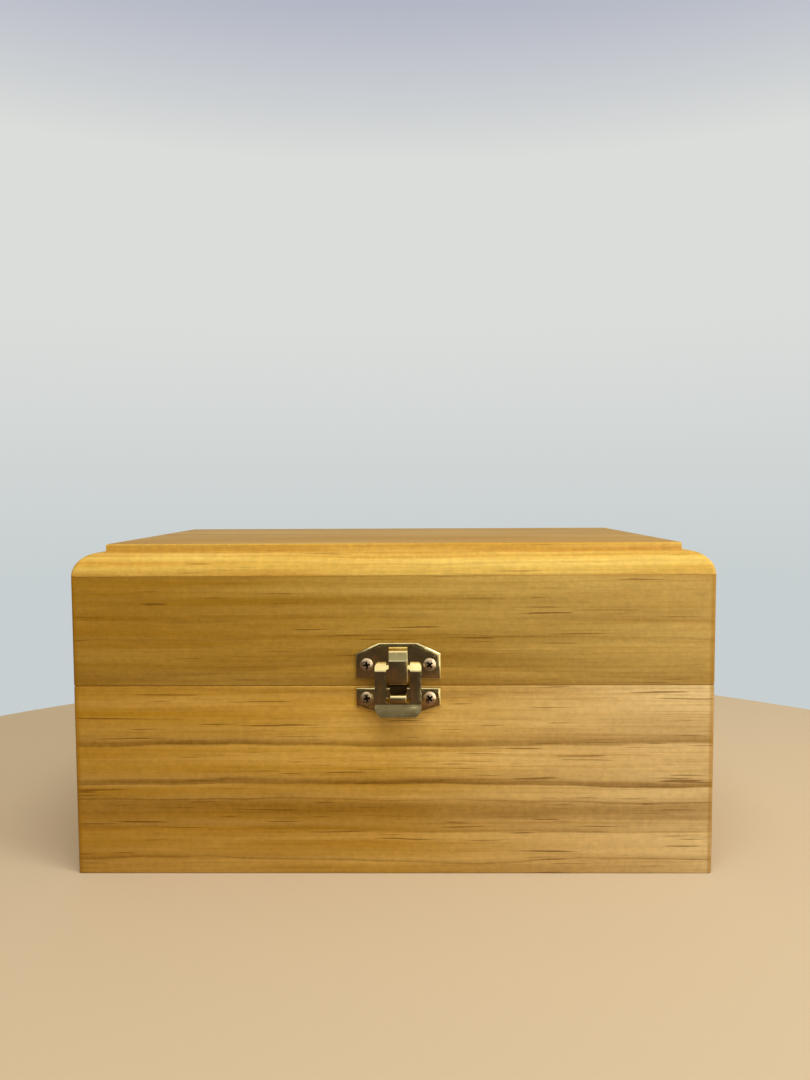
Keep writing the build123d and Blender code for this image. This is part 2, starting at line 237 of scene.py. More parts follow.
class StageSizes(bpy.types.PropertyGroup):
    """The floor, the lamps and the camera."""

    floor: colour_property("Floor", "Plain pale floor", "#CAB696")
    wall: colour_property("Background", "Plain pale background", "#DBDDDA")
    wall_low: colour_property("Background, low", "The background near the floor", "#C8CFD0")
    wall_high: colour_property("Background, high", "The background higher up", "#B4B8C6")
    room_dim: colour_property("Room, dim", "The room behind the camera, as the box sees it", "#4A4038")
    room_bright: colour_property("Room, bright", "The room behind the box, as the box sees it", "#BAB6AE")
    ceiling: colour_property("Ceiling", "The room's ceiling, as the box sees it", "#C8C0B2")
    # Painted dark reflection: the plating mirrors the dark felt cards in place of the shaded room and table
    reflected_shade_dark: colour_property("Felt, dark", "Dark mottles of the felt cards", "#200F03")
    reflected_shade_light: colour_property("Felt, light", "Light mottles of the felt cards", "#905A24")
    paper: colour_property("Paper", "Colour of the paper cards", "#FFFFFF")
    paper_glow: colour_property("Paper glow", "Light that comes off the paper cards", "#FFF8E8")
    floor_width: size_property("Floor width", "Width of the oval floor", 1260)
    floor_length: size_property("Floor length", "Length of the oval floor, most of it in front", 2400)
    floor_behind: size_property("Floor behind", "How far the floor reaches behind the box's middle", 280)
    key_power: bpy.props.FloatProperty(
        name="Key lamp", description="Soft lamp above and in front", default=10.6, min=0, unit="POWER"
    )
    side_power: bpy.props.FloatProperty(
        name="Side lamp", description="Soft lamp at the right", default=4.0, min=0, unit="POWER"
    )
    window_power: bpy.props.FloatProperty(
        name="Window lamp", description="Wide lamp far in front", default=3.8, min=0, unit="POWER"
    )
    lens: bpy.props.FloatProperty(
        name="Lens",
        description="Focal length on a 36 mm sensor",
        default=27.03,
        min=1,
        subtype="DISTANCE_CAMERA",
    )


class OilBoxSettings(bpy.types.PropertyGroup):
    """Everything about the box that a user would change."""

    pine: bpy.props.PointerProperty(type=PineFinish, name="Pine", description="The boards and their varnish")
    plating: bpy.props.PointerProperty(type=PlatingFinish, name="Plating", description="Latch and hinges")
    screw: bpy.props.PointerProperty(type=ScrewSizes, name="Screws", description="The cross-head screws")
    stage: bpy.props.PointerProperty(type=StageSizes, name="Stage", description="Floor, lamps and camera")


def settings():
    """The box's settings in the open scene."""
    return bpy.context.scene.oil_box


def add(tree, kind, inputs=None, **options):
    """Adds a node with its options, and gives each input its value or its link.

    A node given as an input is linked from its first output that is in use.
    """
    node = tree.nodes.new(kind)
    for name, value in options.items():
        setattr(node, name, value)
    for name, value in (inputs or {}).items():
        if isinstance(value, bpy.types.Node):
            value = next(socket for socket in value.outputs if socket.enabled)
        if isinstance(value, bpy.types.NodeSocket):
            tree.links.new(value, node.inputs[name])
        else:
            node.inputs[name].default_value = value
    return node


def new_material(name):
    """A new material and its node tree, with no nodes in it yet."""
    material = bpy.data.materials.new(name)
    material.use_nodes = True
    material.node_tree.nodes.clear()
    return material, material.node_tree


# Growth rings over the height of a wall: height in millimetres, and how brown the wood is there. Late wood
# ends in a sharp edge on one side and fades on the other
BOX_RINGS = [
    (0, 0.2), (4.9, 0.1), (5.2, 0.7), (5.9, 0.25), (8, 0.04), (17.0, 0.0), (17.5, 0.35), (20, 0.22),
    (22.6, 0.3), (23.1, 0.5), (26, 0.55), (28.8, 0.38), (29.3, 0.8), (30.0, 0.3), (33, 0.1), (35.2, 0.05),
    (35.7, 0.9), (37.0, 0.8), (38.4, 0.25), (42, 0.02), (50.8, 0), (51.5, 0.85), (52.9, 0.65),
    (54.4, 0.28), (60, 0.16), (67, 0.06), (75, 0.18),
]
# The lid's rings are browner throughout than the box's: growth rings with painted shade laid over the lid
LID_RINGS_AND_SHADE = [
    (75, 0.3), (80, 0.38), (81, 0.18), (88, 0.08), (93.4, 0.06), (93.9, 0.4), (94.6, 0.12), (100.2, 0.1),
    (100.8, 0.36), (104, 0.28), (110, 0.18), (116, 0.15), (118, 0.3),
]
# Amber rings through the top board's edge, measured along Z with six tenths of Y because they lie on the
# slant there, and brown rings over the depth of its raised panel
EDGE_RINGS = [
    (70, 0.5), (73.5, 0.45), (75, 0.12), (77, 0), (78.5, 0.05), (79, 0.5), (80, 0.1), (82, 0), (83, 0.6),
    (84, 0.2), (85.4, 0.2), (86.2, 0.8), (88, 0.5), (90, 0.2), (93, 0.4), (96, 0.1), (120, 0.3), (140, 0.1),
    (160, 0.3), (166, 0.1), (180, 0.3),
]
PANEL_RINGS = [
    (-75, 0.05), (-62, 0.2), (-61, 0.05), (-52, 0.18), (-47, 0.05), (-30, 0.25), (-27, 0.05), (-4, 0.08),
    (3, 0.3), (8, 0.1), (28, 0.05), (41, 0.28), (46, 0.08), (66, 0.15), (75, 0.05),
]
PLAIN_RINGS = [(-75, 0.1), (-20, 0.25), (15, 0.05), (30, 0.3), (60, 0.1), (118, 0.2)]

# The light, middle, amber, brown, duct and pale colours of each wood, by their names in the pine's settings
WOODS = {
    "box": ("light", "middle", "amber", "brown", "duct", "pale"),
    "lid": ("lid_shaded_light", "lid_shaded_middle", "amber", "brown", "duct", "lid_shaded_pale"),
    "top": ("top_light", "top_middle", "top_middle", "top_ring", "duct", "top_light"),
    "panel": ("panel_light", "panel_middle", "amber", "brown", "duct", "panel_light"),
    "bare": ("bare_light", "bare_middle", "bare_middle", "bare_middle", "bare_duct", "bare_light"),
}


def turned_over(rings):
    """The rings of the same plank with its edges swapped, as the box's maker would lay the next board."""
    lowest, highest = rings[0][0], rings[-1][0]
    return [(lowest + highest - place, amount) for place, amount in reversed(rings)]


def pine(
    name,
    wood,
    grain="X",
    across="Z",
    rings=PLAIN_RINGS,
    shift=0,
    tilt=0,
    dashes=0.7,
    half_length=None,
    painted_shade=None,
):
    """Radiata pine, planed, sanded and either satin-varnished or left bare.

    It gives smooth golden wood with brown growth rings, thin streaks along the grain and the short dark
    dashes of its resin ducts, under an even satin sheen. tilt is the share of Y that slanting rings add to Z,
    dashes is how dark the ducts are, and the last argument is the place of a dark patch of painted shade and
    its half sizes in X and Z.
    """
    material, tree = new_material(name)
    light, middle, amber, brown, duct, pale = (getattr(settings().pine, tone) for tone in WOODS[wood])
    varnished = wood != "bare"

    # Places on the board in millimetres, with the grain turned to run along X
    object_place = add(tree, "ShaderNodeTexCoord").outputs["Object"]
    turn = (0, 0, -pi / 2 if grain == "Y" else 0)
    place = {"Vector": object_place, "Scale": (1 / MM, 1 / MM, 1 / MM), "Rotation": turn}
    place = add(tree, "ShaderNodeMapping", place)
    axes = add(tree, "ShaderNodeSeparateXYZ", {0: place}).outputs
    along = axes["X"]
    height = axes[across]
    if tilt:
        height = add(tree, "ShaderNodeMath", {0: axes["Y"], 1: tilt, 2: height}, operation="MULTIPLY_ADD")

    # Slanting rings are cut at a low angle, so that they lie wide along Y
    flatness = 4 if tilt else 1

    def pattern(length, width, low=0.0, high=1.0, to=(0.0, 1.0), detail=2.0, roughness=0.5, offset=0.0):
        """Soft noise with spots that many millimetres long and wide, stretched from low to high."""
        stretched = {
            "Vector": place,
            "Scale": (1 / length, 1 / width / flatness, 1 / width),
            "Location": (shift + offset, shift * 0.7, offset),
        }
        stretched = add(tree, "ShaderNodeMapping", stretched)
        noise = {"Vector": stretched, "Scale": 1.0, "Detail": detail, "Roughness": roughness}
        noise = add(tree, "ShaderNodeTexNoise", noise)
        limits = {"Value": noise, "From Min": low, "From Max": high, "To Min": to[0], "To Max": to[1]}
        return add(tree, "ShaderNodeMapRange", limits)

    # The growth rings wander a millimetre or two over the length of the board, and are stronger in some
    # places. The noise that moves them is 0.5 on average, so it raises them by half of its strength
    wander_by = 8.0
    wave_by = 1.8
    raised = (wander_by + wave_by) / 2
    wander = {0: pattern(130, 40), 1: wander_by, 2: height}
    wander = add(tree, "ShaderNodeMath", wander, operation="MULTIPLY_ADD")
    wave = {0: pattern(26, 9, detail=1, offset=4.6), 1: wave_by, 2: wander}
    wave = add(tree, "ShaderNodeMath", wave, operation="MULTIPLY_ADD")
    lowest, highest = rings[0][0], rings[-1][0]
    level = {"Value": wave, "From Min": lowest + raised, "From Max": highest + raised}
    ramp = add(tree, "ShaderNodeValToRGB", {"Fac": add(tree, "ShaderNodeMapRange", level)})
    stops = ramp.color_ramp.elements
    stops.remove(stops[1])
    stops[0].position = 0.0
    stops[0].color = (rings[0][1],) * 3 + (1.0,)
    for ring_place, amount in rings[1:]:
        stops.new((ring_place - lowest) / (highest - lowest)).color = (amount,) * 3 + (1.0,)
    patchy = pattern(80, 4, 0.32, 0.62, to=(0.5, 1.0), offset=3.1)
    ring = add(tree, "ShaderNodeMath", {0: ramp, 1: patchy}, operation="MULTIPLY")

    # Streaks 4 mm wide with threads of 0.8 mm in them, resin ducts up to 0.6 mm wide and 20 mm long that lie
    # in clusters, and fibres as fine as the render shows
    streak = pattern(170, 4, 0.3, 0.7)
    thread = pattern(50, 0.8, 0.5, 0.74, to=(0.0, 0.35), detail=1, offset=6.2)
    clusters = pattern(45, 6, 0.45, 0.53, offset=7.7)
    ducts = pattern(26, 0.66, 0.72, 0.78, to=(0.0, dashes), detail=0, offset=1.3)
    ducts = add(tree, "ShaderNodeMath", {0: ducts, 1: clusters}, operation="MULTIPLY")
    fibre = pattern(3.0, 0.6, roughness=0.6, offset=5.9)
    drift = pattern(150, 30, 0.35, 0.65, to=(0.0, 0.4), offset=9.4)

    # The light plays in faint ripples 2 mm wide, also in the rings, and in wider flakes of the figure
    ripple = pattern(1.8, 2.0, 0.35, 0.65, detail=3, roughness=0.65, offset=2.2)
    flake = pattern(6.0, 3.0, 0.3, 0.7, roughness=0.6, offset=8.3)
    glint = add(tree, "ShaderNodeMath", {0: ripple, 1: ring}, operation="MULTIPLY")
    glint = add(tree, "ShaderNodeMath", {0: glint, 1: 0.1}, operation="MULTIPLY")

    # The colours are laid over each other, each as strong as its pattern
    layers = [(streak, middle)]
    if half_length:
        # The boards are more amber at their left end and paler at their right end: partly the plank's own tone
        # and partly painted light, the brighter light and sheen that fall on the right side
        half = half_length / MM
        for low, high, first, last, tone in ((-half, 0, 0.45, 0.0, amber), (0, half, 0.0, 0.6, pale)):
            limits = {"Value": along, "From Min": low, "From Max": high, "To Min": first, "To Max": last}
            layers.append((add(tree, "ShaderNodeMapRange", limits), tone))
    layers += [(drift, amber), (thread, amber), (ring, brown), (glint, light), (ducts, duct)]
    if half_length:
        # Varnish soaks into the last 2 mm at the mitred ends and turns them more orange
        from_middle = add(tree, "ShaderNodeMath", {0: along}, operation="ABSOLUTE")
        limits = {"Value": from_middle, "From Min": half - 2.4, "From Max": half - 1.4, "To Max": 0.5}
        layers.append((add(tree, "ShaderNodeMapRange", limits), amber))
    if painted_shade:
        # Painted shade: the wood behind the latch's window is darkened where the strap and frame shade it
        centre, half_x, half_z = painted_shade
        shade_spot = {
            "Vector": object_place,
            "Location": (-centre.x / half_x, -centre.y / MM, -centre.z / half_z),
            "Scale": (1 / half_x, 1 / MM, 1 / half_z),
        }
        shade_spot = add(tree, "ShaderNodeMapping", shade_spot)
        away = add(tree, "ShaderNodeVectorMath", {0: shade_spot}, operation="LENGTH")
        limits = {"Value": away, "From Min": 0.8, "From Max": 1.15, "To Min": 0.93, "To Max": 0.0}
        layers.append((add(tree, "ShaderNodeMapRange", limits), settings().pine.painted_shade))
    colour = light
    for strength, tone in layers:
        colour = add(tree, "ShaderNodeMix", {0: strength, 6: colour, 7: tone}, data_type="RGBA")

    # Fibres, ripples and flakes make it a few percent darker or lighter
    shade = 1.0
    for play, low, high, by in ((fibre, 0.3, 0.7, 0.06), (ripple, 0.0, 1.0, 0.05), (flake, 0.0, 1.0, 0.045)):
        limits = {"Value": play, "From Min": low, "From Max": high, "To Min": 1 - by, "To Max": 1 + by}
        part = add(tree, "ShaderNodeMapRange", limits)
        shade = add(tree, "ShaderNodeMath", {0: shade, 1: part}, operation="MULTIPLY")
    shaded = add(tree, "ShaderNodeVectorMath", {0: colour, "Scale": shade}, operation="SCALE")

    # The relief is that of the grain, which varnish levels to half, and the varnish is a weak clear coat
    relief = add(tree, "ShaderNodeMath", {0: streak, 1: -0.6, 2: fibre}, operation="MULTIPLY_ADD")
    bump = {"Height": relief, "Strength": 0.25 if varnished else 0.5, "Distance": 0.05 * MM}
    smooth, rough = (0.44, 0.56) if varnished else (0.62, 0.78)
    sheen = {"Value": fibre, "From Min": 0.3, "From Max": 0.7, "To Min": smooth, "To Max": rough}
    shader = {
        "Base Color": shaded,
        "Roughness": add(tree, "ShaderNodeMapRange", sheen),
        "Normal": add(tree, "ShaderNodeBump", bump),
    }
    if varnished:
        shader |= {"Specular IOR Level": 0.13, "Coat Weight": 0.04, "Coat Roughness": 0.3, "Coat IOR": 1.5}
    surface = add(tree, "ShaderNodeBsdfPrincipled", shader)
    add(tree, "ShaderNodeOutputMaterial", {"Surface": surface})
    return material


def plated(name, clean, dull, roughness=0.08, shift=0.0):
    """Sheet steel, pressed and tumbled, with bright brass or nickel-brass plating.

    It mirrors its surroundings with soft, slightly wavy edges, and has duller patches.
    """
    material, tree = new_material(name)
    object_place = add(tree, "ShaderNodeTexCoord").outputs["Object"]

    def pattern(size, detail, offset=0.0):
        """Soft noise whose spots are that many millimetres wide."""
        scale = 1 / MM / size
        moved = {"Vector": object_place, "Scale": (scale,) * 3, "Location": (shift + offset, offset, 0)}
        moved = add(tree, "ShaderNodeMapping", moved)
        return add(tree, "ShaderNodeTexNoise", {"Vector": moved, "Scale": 1.0, "Detail": detail})

    # Duller patches 5 mm wide, smears of 1.6 mm in the gloss, and dents of 4 mm with 0.5 mm orange peel
    patches = {"Value": pattern(5.0, 3), "From Min": 0.45, "From Max": 0.75, "To Max": 0.55}
    patches = add(tree, "ShaderNodeMapRange", patches)
    colour = add(tree, "ShaderNodeMix", {0: patches, 6: clean, 7: dull}, data_type="RGBA")
    gloss = {
        "Value": pattern(1.6, 3, 4.4),
        "From Min": 0.35,
        "From Max": 0.7,
        "To Min": roughness * 0.7,
        "To Max": roughness * 1.9,
    }
    dents = {0: pattern(4.0, 0, 8.1), 1: 4.0, 2: pattern(0.5, 1, 2.7)}
    dents = add(tree, "ShaderNodeMath", dents, operation="MULTIPLY_ADD")
    shader = {
        "Base Color": colour,
        "Metallic": 1.0,
        "Roughness": add(tree, "ShaderNodeMapRange", gloss),
        "Normal": add(tree, "ShaderNodeBump", {"Height": dents, "Strength": 0.5, "Distance": 0.04 * MM}),
    }
    surface = add(tree, "ShaderNodeBsdfPrincipled", shader)
    add(tree, "ShaderNodeOutputMaterial", {"Surface": surface})
    return material


def once(name, make):
    """The material of that name, made if it is new."""
    return bpy.data.materials.get(name) or make(name)


def bare_pine(grain):
    """The unvarnished pine inside the box, with its grain along X or Y."""
    return once(f"bare pine, grain along {grain}", lambda name: pine(name, "bare", grain))


def brass_plate():
    """The plating of the latch and the hinges."""
    finish = settings().plating
    return once("bright brass plating, pressed sheet", lambda new: plated(new, finish.brass, finish.tarnish))


def screw_plate():
    """The pinkish plating of the screws, which is less bright than the sheet's."""
    finish = settings().plating
    name = "pinkish nickel plating, rolled screw"
    return once(name, lambda new: plated(new, finish.steel, finish.tarnish, 0.28, 5.0))


def shaded_recess_metal():
    """The metal down in the cross of a screw, coloured dark as painted shade in the recess."""
    recess_shade = settings().plating.recess_shade
    return once("dull metal in a screw recess", lambda new: plated(new, recess_shade, recess_shade, 0.4, 9.0))


def begin():
    """Leaves nothing selected, and no object open for editing."""
    if bpy.context.object and bpy.context.object.mode != "OBJECT":
        bpy.ops.object.mode_set(mode="OBJECT")
    bpy.ops.object.select_all(action="DESELECT")


def choose(piece):
    """Makes a piece the only one selected."""
    begin()
    piece.select_set(True)
    bpy.context.view_layer.objects.active = piece


def pick(piece, kind, test):
    """Selects the vertices, edges or faces of the open piece that pass the test, and says how many."""
    bpy.ops.mesh.select_mode(type=kind)
    bpy.ops.mesh.select_all(action="DESELECT")
    mesh = bmesh.from_edit_mesh(piece.data)
    parts = {"VERT": mesh.verts, "EDGE": mesh.edges, "FACE": mesh.faces}[kind]
    chosen = [part for part in parts if test(part)]
    for part in chosen:
        part.select = True
    mesh.select_flush_mode()
    bmesh.update_edit_mesh(piece.data)
    return len(chosen)


def merged_copy(node, name):
    """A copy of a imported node, open for editing, with its triangles merged back into flat faces."""
    piece = bpy.data.objects.new(name, frame["nodes"][node].data.copy())
    bpy.context.scene.collection.objects.link(piece)
    piece.data.name = name
    piece.data.materials.clear()
    choose(piece)
    bpy.ops.object.mode_set(mode="EDIT")
    bpy.ops.mesh.select_all(action="SELECT")
    bpy.ops.mesh.customdata_custom_splitnormals_clear()
    bpy.ops.mesh.remove_doubles(threshold=SAME_POINT)
    bpy.ops.mesh.dissolve_limited(angle_limit=FLAT)
    return piece


def ease(piece, amount, test=lambda edge: True, segments=2, sharpness=30, clamped=True):
    """Rounds the edges of the open piece that pass the test and turn by more than sharpness degrees."""

    def wanted(edge):
        """True for a sharp edge between two faces that passes the test."""
        return len(edge.link_faces) == 2 and edge.calc_face_angle() > radians(sharpness) and test(edge)

    if pick(piece, "EDGE", wanted):
        bpy.ops.mesh.bevel(
            offset=amount, offset_type="OFFSET", segments=segments, profile=0.5, clamp_overlap=clamped
        )


def give_material(piece, number, test):
    """Gives the faces of the open piece that pass the test its material of that number."""
    pick(piece, "FACE", test)
    piece.active_material_index = number
    bpy.ops.object.material_slot_assign()


def finished(piece, body, node, smooth=32):
    """Closes a piece, shades it smooth below an angle in degrees, and hands it to the frame."""
    choose(piece)
    bpy.ops.object.shade_smooth_by_angle(angle=radians(smooth))
    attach(piece, body)
    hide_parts(node)


def body_of(node):
    """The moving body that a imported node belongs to."""
    return frame["nodes"][node]["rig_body"]


def all_along(edge, test):
    """True if both ends of an edge pass a test of their place."""
    return all(test(vertex.co) for vertex in edge.verts)


def on_mitre(edge):
    """True for an edge that lies on a mitre, where two walls are glued flush."""
    return all_along(edge, lambda at: abs(abs(at.x) - abs(at.y) - TOP_HIGH.x + TOP_HIGH.y) < TOUCHING)


def outer_foot(edge):
    """True for an outer bottom edge of the box."""
    outside = all_along(edge, lambda at: abs(at.x) > INNER_X + MID_WALL or abs(at.y) > INNER_Y + MID_WALL)
    return outside and all_along(edge, lambda at: at.z < TOUCHING) and not on_mitre(edge)


def glue_line(edge):
    """True for a top edge of the lid's walls, where the top board is glued on."""
    return all_along(edge, lambda at: abs(at.z - TOP_LOW.z) < TOUCHING) and not on_mitre(edge)


def plain_edge(edge):
    """True for the other edges that are sanded, all of them above the foot."""
    at_foot = all_along(edge, lambda at: at.z < FOOT_BAND)
    return not (on_mitre(edge) or glue_line(edge) or at_foot)


def facing_in(face):
    """True for a face on the inside of the box."""
    middle = face.calc_center_median()
    return abs(middle.x) < INNER_X + 5 * TOUCHING and abs(middle.y) < INNER_Y + 5 * TOUCHING


class OILBOX_OT_walls(bpy.types.Operator):
    """Makes the eight mitred walls of the box and the lid, varnished outside and bare inside."""

    bl_idname = "oilbox.walls"
    bl_label = "Walls"

    def execute(self, context):
        """Makes the walls."""
        finish = settings().pine
        # The front walls get a patch of painted shade behind the latch's window, centred here
        low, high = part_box("latch_frame")
        window = (low + high) / 2
        window.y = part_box("body_front")[0].y
        window.z = TOP_LOW.z - WINDOW_DROP
        for number, node in enumerate(WALLS):
            low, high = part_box(node)
            grain = "X" if high.x - low.x > high.y - low.y else "Y"
            piece = merged_copy(node, f"{node}_board")
            ease(piece, finish.foot_edge, outer_foot, segments=3)
            ease(piece, finish.joint_edge, glue_line)
            ease(piece, finish.edge, plain_edge)
            case, rings = ("box", BOX_RINGS) if node.startswith("body") else ("lid", LID_RINGS_AND_SHADE)
            # Only the two front walls lie as the plank's rings are listed
            if number % 4:
                rings = turned_over(rings)
            outside = pine(
                f"satin-varnished pine, {node.replace('_', ' ')}",
                case,
                grain,
                rings=rings,
                shift=number * BOARD_SHIFT,
                half_length=TOP_HIGH.x if grain == "X" else TOP_HIGH.y,
                painted_shade=(window, SHADE_HALF_WIDTH, SHADE_HALF_HEIGHT) if node.endswith("front") else None,
            )
            piece.data.materials.append(outside)
            piece.data.materials.append(bare_pine(grain))
            give_material(piece, 1, facing_in)
            finished(piece, body_of(node), node)
        return {"FINISHED"}


class OILBOX_OT_top_board(bpy.types.Operator):
    """Makes the moulded top board with its quarter-round edge, shelf and raised panel."""

    bl_idname = "oilbox.top_board"
    bl_label = "Top board"

    def execute(self, context):
        """Makes the top board."""
        finish = settings().pine
        piece = merged_copy("lid_top", "lid_top_board")
        underside = TOP_LOW.z + TOUCHING
        upper = TOP_LOW.z + UPPER_EDGES
        ease(piece, finish.joint_edge, lambda edge: all_along(edge, lambda at: at.z < underside))
        ease(piece, finish.joint_edge, lambda edge: all_along(edge, lambda at: at.z > upper))
        name = "satin-varnished pine, top board"
        edge_wood = pine(name, "top", rings=EDGE_RINGS, shift=31.0, tilt=0.6, dashes=0.4)
        name = "satin-varnished pine, panel"
        panel_wood = pine(name, "panel", across="Y", rings=PANEL_RINGS, shift=44.0, dashes=0.5)
        for wood in (edge_wood, panel_wood, bare_pine("X")):
            piece.data.materials.append(wood)
        give_material(piece, 1, lambda face: face.calc_center_median().z > TOP_HIGH.z - PANEL_FACE)
        give_material(piece, 2, lambda face: face.calc_center_median().z < underside)
        finished(piece, "lid", "lid_top")
        return {"FINISHED"}


class OILBOX_OT_dividers(bpy.types.Operator):
    """Makes the half-lapped dividers, with sanded edges, and finishes the base board."""

    bl_idname = "oilbox.dividers"
    bl_label = "Dividers and base"

    def execute(self, context):
        """Makes the dividers and finishes the base."""
        for grain, nodes in (("X", LONG_DIVIDERS), ("Y", CROSS_DIVIDERS)):
            for node in nodes:
                piece = merged_copy(node, f"{node}_slat")
                ease(piece, settings().pine.edge)
                piece.data.materials.append(bare_pine(grain))
                finished(piece, "box", node)
        base = frame["nodes"]["body_bottom"]
        base.data.materials.clear()
        wood = pine("bare pine, base board", "bare", across="Y", shift=57.0)
        base.data.materials.append(wood)
        return {"FINISHED"}


class OILBOX_OT_latch(bpy.types.Operator):
    """Makes the latch's two plates, its folded strap and nose, and the swing frame."""

    bl_idname = "oilbox.latch"
    bl_label = "Latch"

    def execute(self, context):
        """Makes the latch."""
        finish = settings().plating
        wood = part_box("lid_front")[0].y
        for node in ("latch_lid_plate", "latch_box_plate"):
            piece = merged_copy(node, f"{node}_pressed")
            low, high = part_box(node)
            centre = (low.x + high.x) / 2

            def plate_rim(edge):
                """True for the long front edges round the flat plate, and not round its screw holes."""
                in_face = all_along(edge, lambda at: abs(at.y - wood + LATCH_SHEET) < TOUCHING)
                beside = any(abs(vertex.co.x - centre) > STRAP_REACH for vertex in edge.verts)
                return in_face and beside and edge.is_convex and edge.calc_length() > SHORTEST_RIM

            def folded(edge):
                """True for the edges of the strap or nose, which stands off the plate."""
                return all_along(edge, lambda at: at.y < wood - LATCH_SHEET - TOUCHING)

            ease(piece, finish.plate_edge, plate_rim, segments=6, clamped=False)
            ease(piece, finish.frame_edge, folded, segments=5)
            piece.data.materials.append(brass_plate())
            finished(piece, body_of(node), node, smooth=40)
        piece = merged_copy("latch_frame", "latch_frame_pressed")
        ease(piece, finish.frame_edge, segments=5)
        piece.data.materials.append(brass_plate())
        finished(piece, "latch", "latch_frame", smooth=40)
        return {"FINISHED"}


def screw_model(head_radius, head_height, shank_radius, length):
    """One cross-head screw, with its head on the plane through the origin and its shank below it."""
    sizes = settings().screw
    begin()
    bpy.ops.mesh.primitive_uv_sphere_add(segments=40, ring_count=24, radius=head_radius, location=(0, 0, 0))
    head = bpy.context.active_object
    bpy.ops.object.mode_set(mode="EDIT")
    bpy.ops.mesh.select_all(action="SELECT")
    rim = head_height * sizes.rim_share
    bpy.ops.transform.resize(value=(1, 1, (head_height - rim) / head_radius))
    pick(head, "VERT", lambda vertex: vertex.co.z < -TOUCHING)
    bpy.ops.mesh.delete(type="VERT")
    pick(head, "EDGE", lambda edge: edge.is_boundary)
    bpy.ops.mesh.edge_face_add()
    bpy.ops.mesh.select_all(action="SELECT")
    bpy.ops.transform.translate(value=(0, 0, rim))
    pick(head, "FACE", lambda face: face.normal.z < -0.9)
    bpy.ops.mesh.extrude_region_move(TRANSFORM_OT_translate={"value": (0, 0, -rim)})
    bpy.ops.object.mode_set(mode="OBJECT")

    # The cross is cut by two tapered blades
    scale = head_radius / RECESS_HEAD
    for turn in (0, pi / 2):
        begin()
        bpy.ops.mesh.primitive_cube_add(size=1, location=(0, 0, 0))
        blade = bpy.context.active_object
        depth = sizes.recess_depth * scale
        bpy.ops.transform.resize(value=(sizes.recess_span * scale, sizes.recess_width * scale, 2 * depth))
        bpy.ops.object.transform_apply(location=True, rotation=True, scale=True)
        bpy.ops.object.mode_set(mode="EDIT")
        pick(blade, "FACE", lambda face: face.normal.z < -0.9)
        bpy.ops.transform.resize(value=(RECESS_TAPER, RECESS_TAPER, 1), center_override=(0, 0, -depth))
        bpy.ops.object.mode_set(mode="OBJECT")
        bpy.ops.transform.rotate(value=turn, orient_axis="Z", center_override=(0, 0, 0))
        bpy.ops.transform.translate(value=(0, 0, head_height))
        bpy.ops.object.transform_apply(location=True, rotation=True, scale=True)
        choose(head)
        cut = head.modifiers.new("recess", "BOOLEAN")
        cut.operation = "DIFFERENCE"
        cut.object = blade
        cut.solver = "EXACT"
        bpy.ops.object.modifier_apply(modifier=cut.name)
        bpy.data.objects.remove(blade)

    # The shank narrows to a gimlet point under its thread
    begin()
    core = shank_radius * CORE_RADIUS
    bpy.ops.mesh.primitive_cylinder_add(vertices=20, radius=core, depth=length, location=(0, 0, -length / 2))
    shank = bpy.context.active_object
    bpy.ops.object.transform_apply(location=True, rotation=True, scale=True)
    bpy.ops.object.mode_set(mode="EDIT")
    bpy.ops.mesh.select_all(action="SELECT")
    bpy.ops.mesh.bisect(plane_co=(0, 0, -length * POINT_START), plane_no=(0, 0, 1))
    pick(shank, "FACE", lambda face: face.normal.z < -0.9)
    bpy.ops.transform.resize(value=(TIP_SHARE, TIP_SHARE, 1), center_override=(0, 0, -length))
    bpy.ops.object.mode_set(mode="OBJECT")

    # The thread is a three-sided ridge wound round the shank
    begin()
    pitch = sizes.thread_pitch
    turns = max(1, int(length * THREAD_RUN / pitch))
    bpy.ops.mesh.primitive_circle_add(
        vertices=3,
        radius=shank_radius * RIDGE_RADIUS,
        location=(shank_radius * RIDGE_PLACE, 0, 0),
        rotation=(pi / 2, pi / 2, 0),
    )
    ridge = bpy.context.active_object
    bpy.ops.object.transform_apply(location=True, rotation=True, scale=True)
    wind = ridge.modifiers.new("thread", "SCREW")
    wind.axis = "Z"
    wind.angle = 2 * pi
    wind.screw_offset = -pitch
    wind.iterations = turns
    wind.steps = THREAD_STEPS
    wind.render_steps = THREAD_STEPS
    bpy.ops.object.modifier_apply(modifier=wind.name)
    bpy.ops.transform.translate(value=(0, 0, -length * THREAD_START))
    bpy.ops.object.transform_apply(location=True, rotation=True, scale=True)
    bpy.ops.object.mode_set(mode="EDIT")
    bpy.ops.mesh.select_all(action="SELECT")
    bpy.ops.mesh.remove_doubles(threshold=SAME_POINT / 2)
    bpy.ops.mesh.fill_holes(sides=3)
    bpy.ops.mesh.select_all(action="SELECT")
    bpy.ops.mesh.normals_make_consistent(inside=False)
    bpy.ops.object.mode_set(mode="OBJECT")

    choose(head)
    shank.select_set(True)
    ridge.select_set(True)
    bpy.ops.object.join()
    head.name = "screw"
    return head


